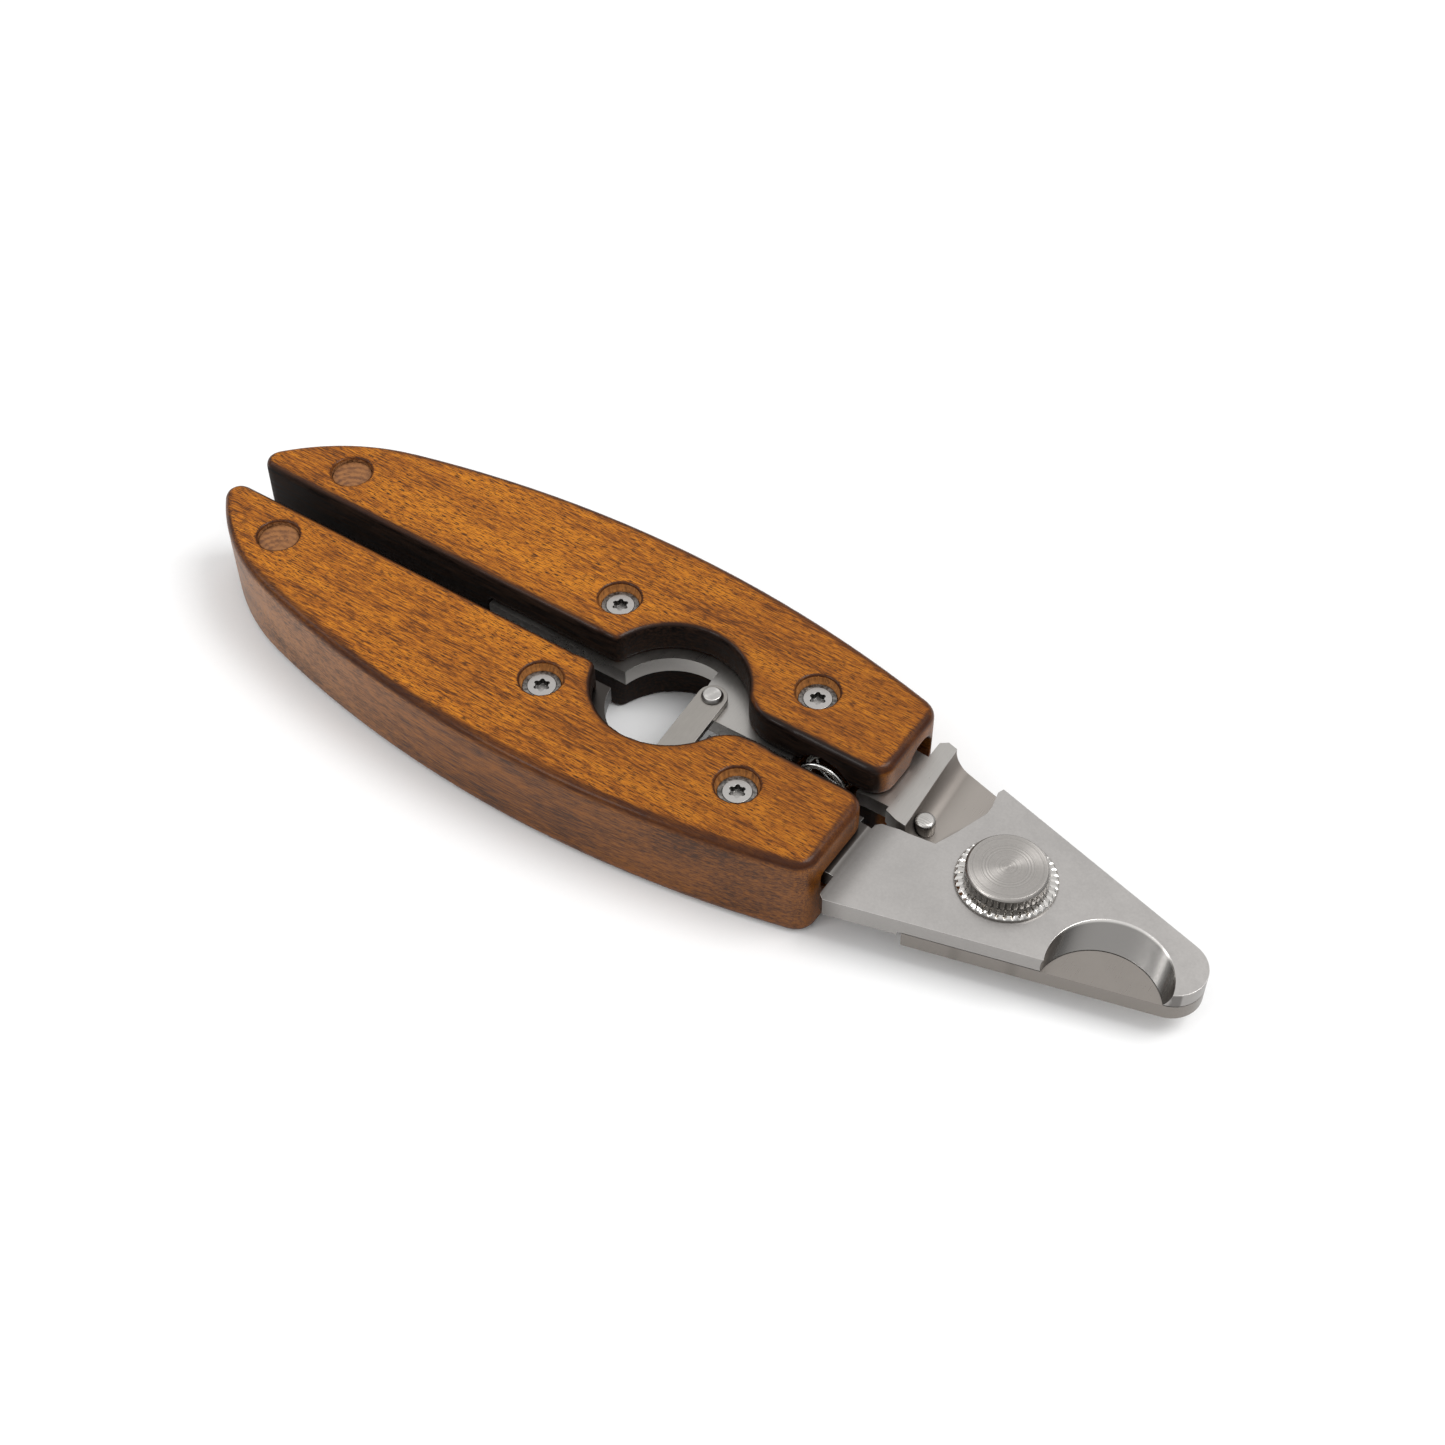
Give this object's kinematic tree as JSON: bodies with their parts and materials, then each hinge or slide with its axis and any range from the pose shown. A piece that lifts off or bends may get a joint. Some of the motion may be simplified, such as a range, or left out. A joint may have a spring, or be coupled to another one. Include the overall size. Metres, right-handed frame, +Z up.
{
  "type": "hand clipper",
  "caption": "Hand clipper with two wooden handles, flat steel levers crossing at a tension knob, notched blades, a return spring and a latch.",
  "frame": {"origin": "middle of the outline of the closed clipper, at the height its handles rest on", "axes": "+X towards the blade tip, +Y towards the half whose blade lies underneath, +Z up through the tension knob"},
  "size_m": [0.1838, 0.053, 0.017],
  "materials": {
    "stained_wood": "stained and lacquered, semi-gloss, fine dark pores along the handle",
    "dowel_wood": "stained end grain, matt",
    "lever_steel": "satin, finely brushed",
    "turned_steel": "turned, with fine rings",
    "bright_steel": "plated, bright",
    "dark_steel": "dark phosphate",
    "spring_steel": "bright drawn wire"
  },
  "bodies": {
    "near_half": {"near_handle": "stained_wood", "near_plug": "dowel_wood", "upper_blade_lever": "lever_steel", "near_screws": "bright_steel", "near_cup_washers": "dark_steel", "near_sleeve_nuts": "bright_steel", "pivot_bolt": "turned_steel", "wave_washer": "spring_steel", "click_ring": "turned_steel", "latch_peg": "turned_steel", "return_spring": "spring_steel"},
    "far_half": {"far_handle": "stained_wood", "far_plug": "dowel_wood", "lower_blade_lever": "lever_steel", "far_screws": "bright_steel", "far_cup_washers": "dark_steel", "far_sleeve_nuts": "bright_steel", "stop_pin": "turned_steel", "latch_rivet": "turned_steel"},
    "latch": {"latch_link": "lever_steel"},
    "knob": {"tension_knob": "turned_steel"}
  },
  "joints": [
    {"name": "pivot_open", "type": "hinge", "parent": "near_half", "child": "far_half", "pos_m": [0.0588, 0, 0], "axis": [0, 0, -1], "range_deg": [0, 36]},
    {"name": "latch_swing", "type": "hinge", "parent": "far_half", "child": "latch", "pos_m": [0.0021, 0.0047, 0], "axis": [0, 0, -1], "range_deg": [0, 50]},
    {"name": "knob_turn", "type": "hinge", "parent": "near_half", "child": "knob", "pos_m": [0.0588, 0, 0], "axis": [0, 0, 1], "range_deg": [-90, 90]}
  ]
}
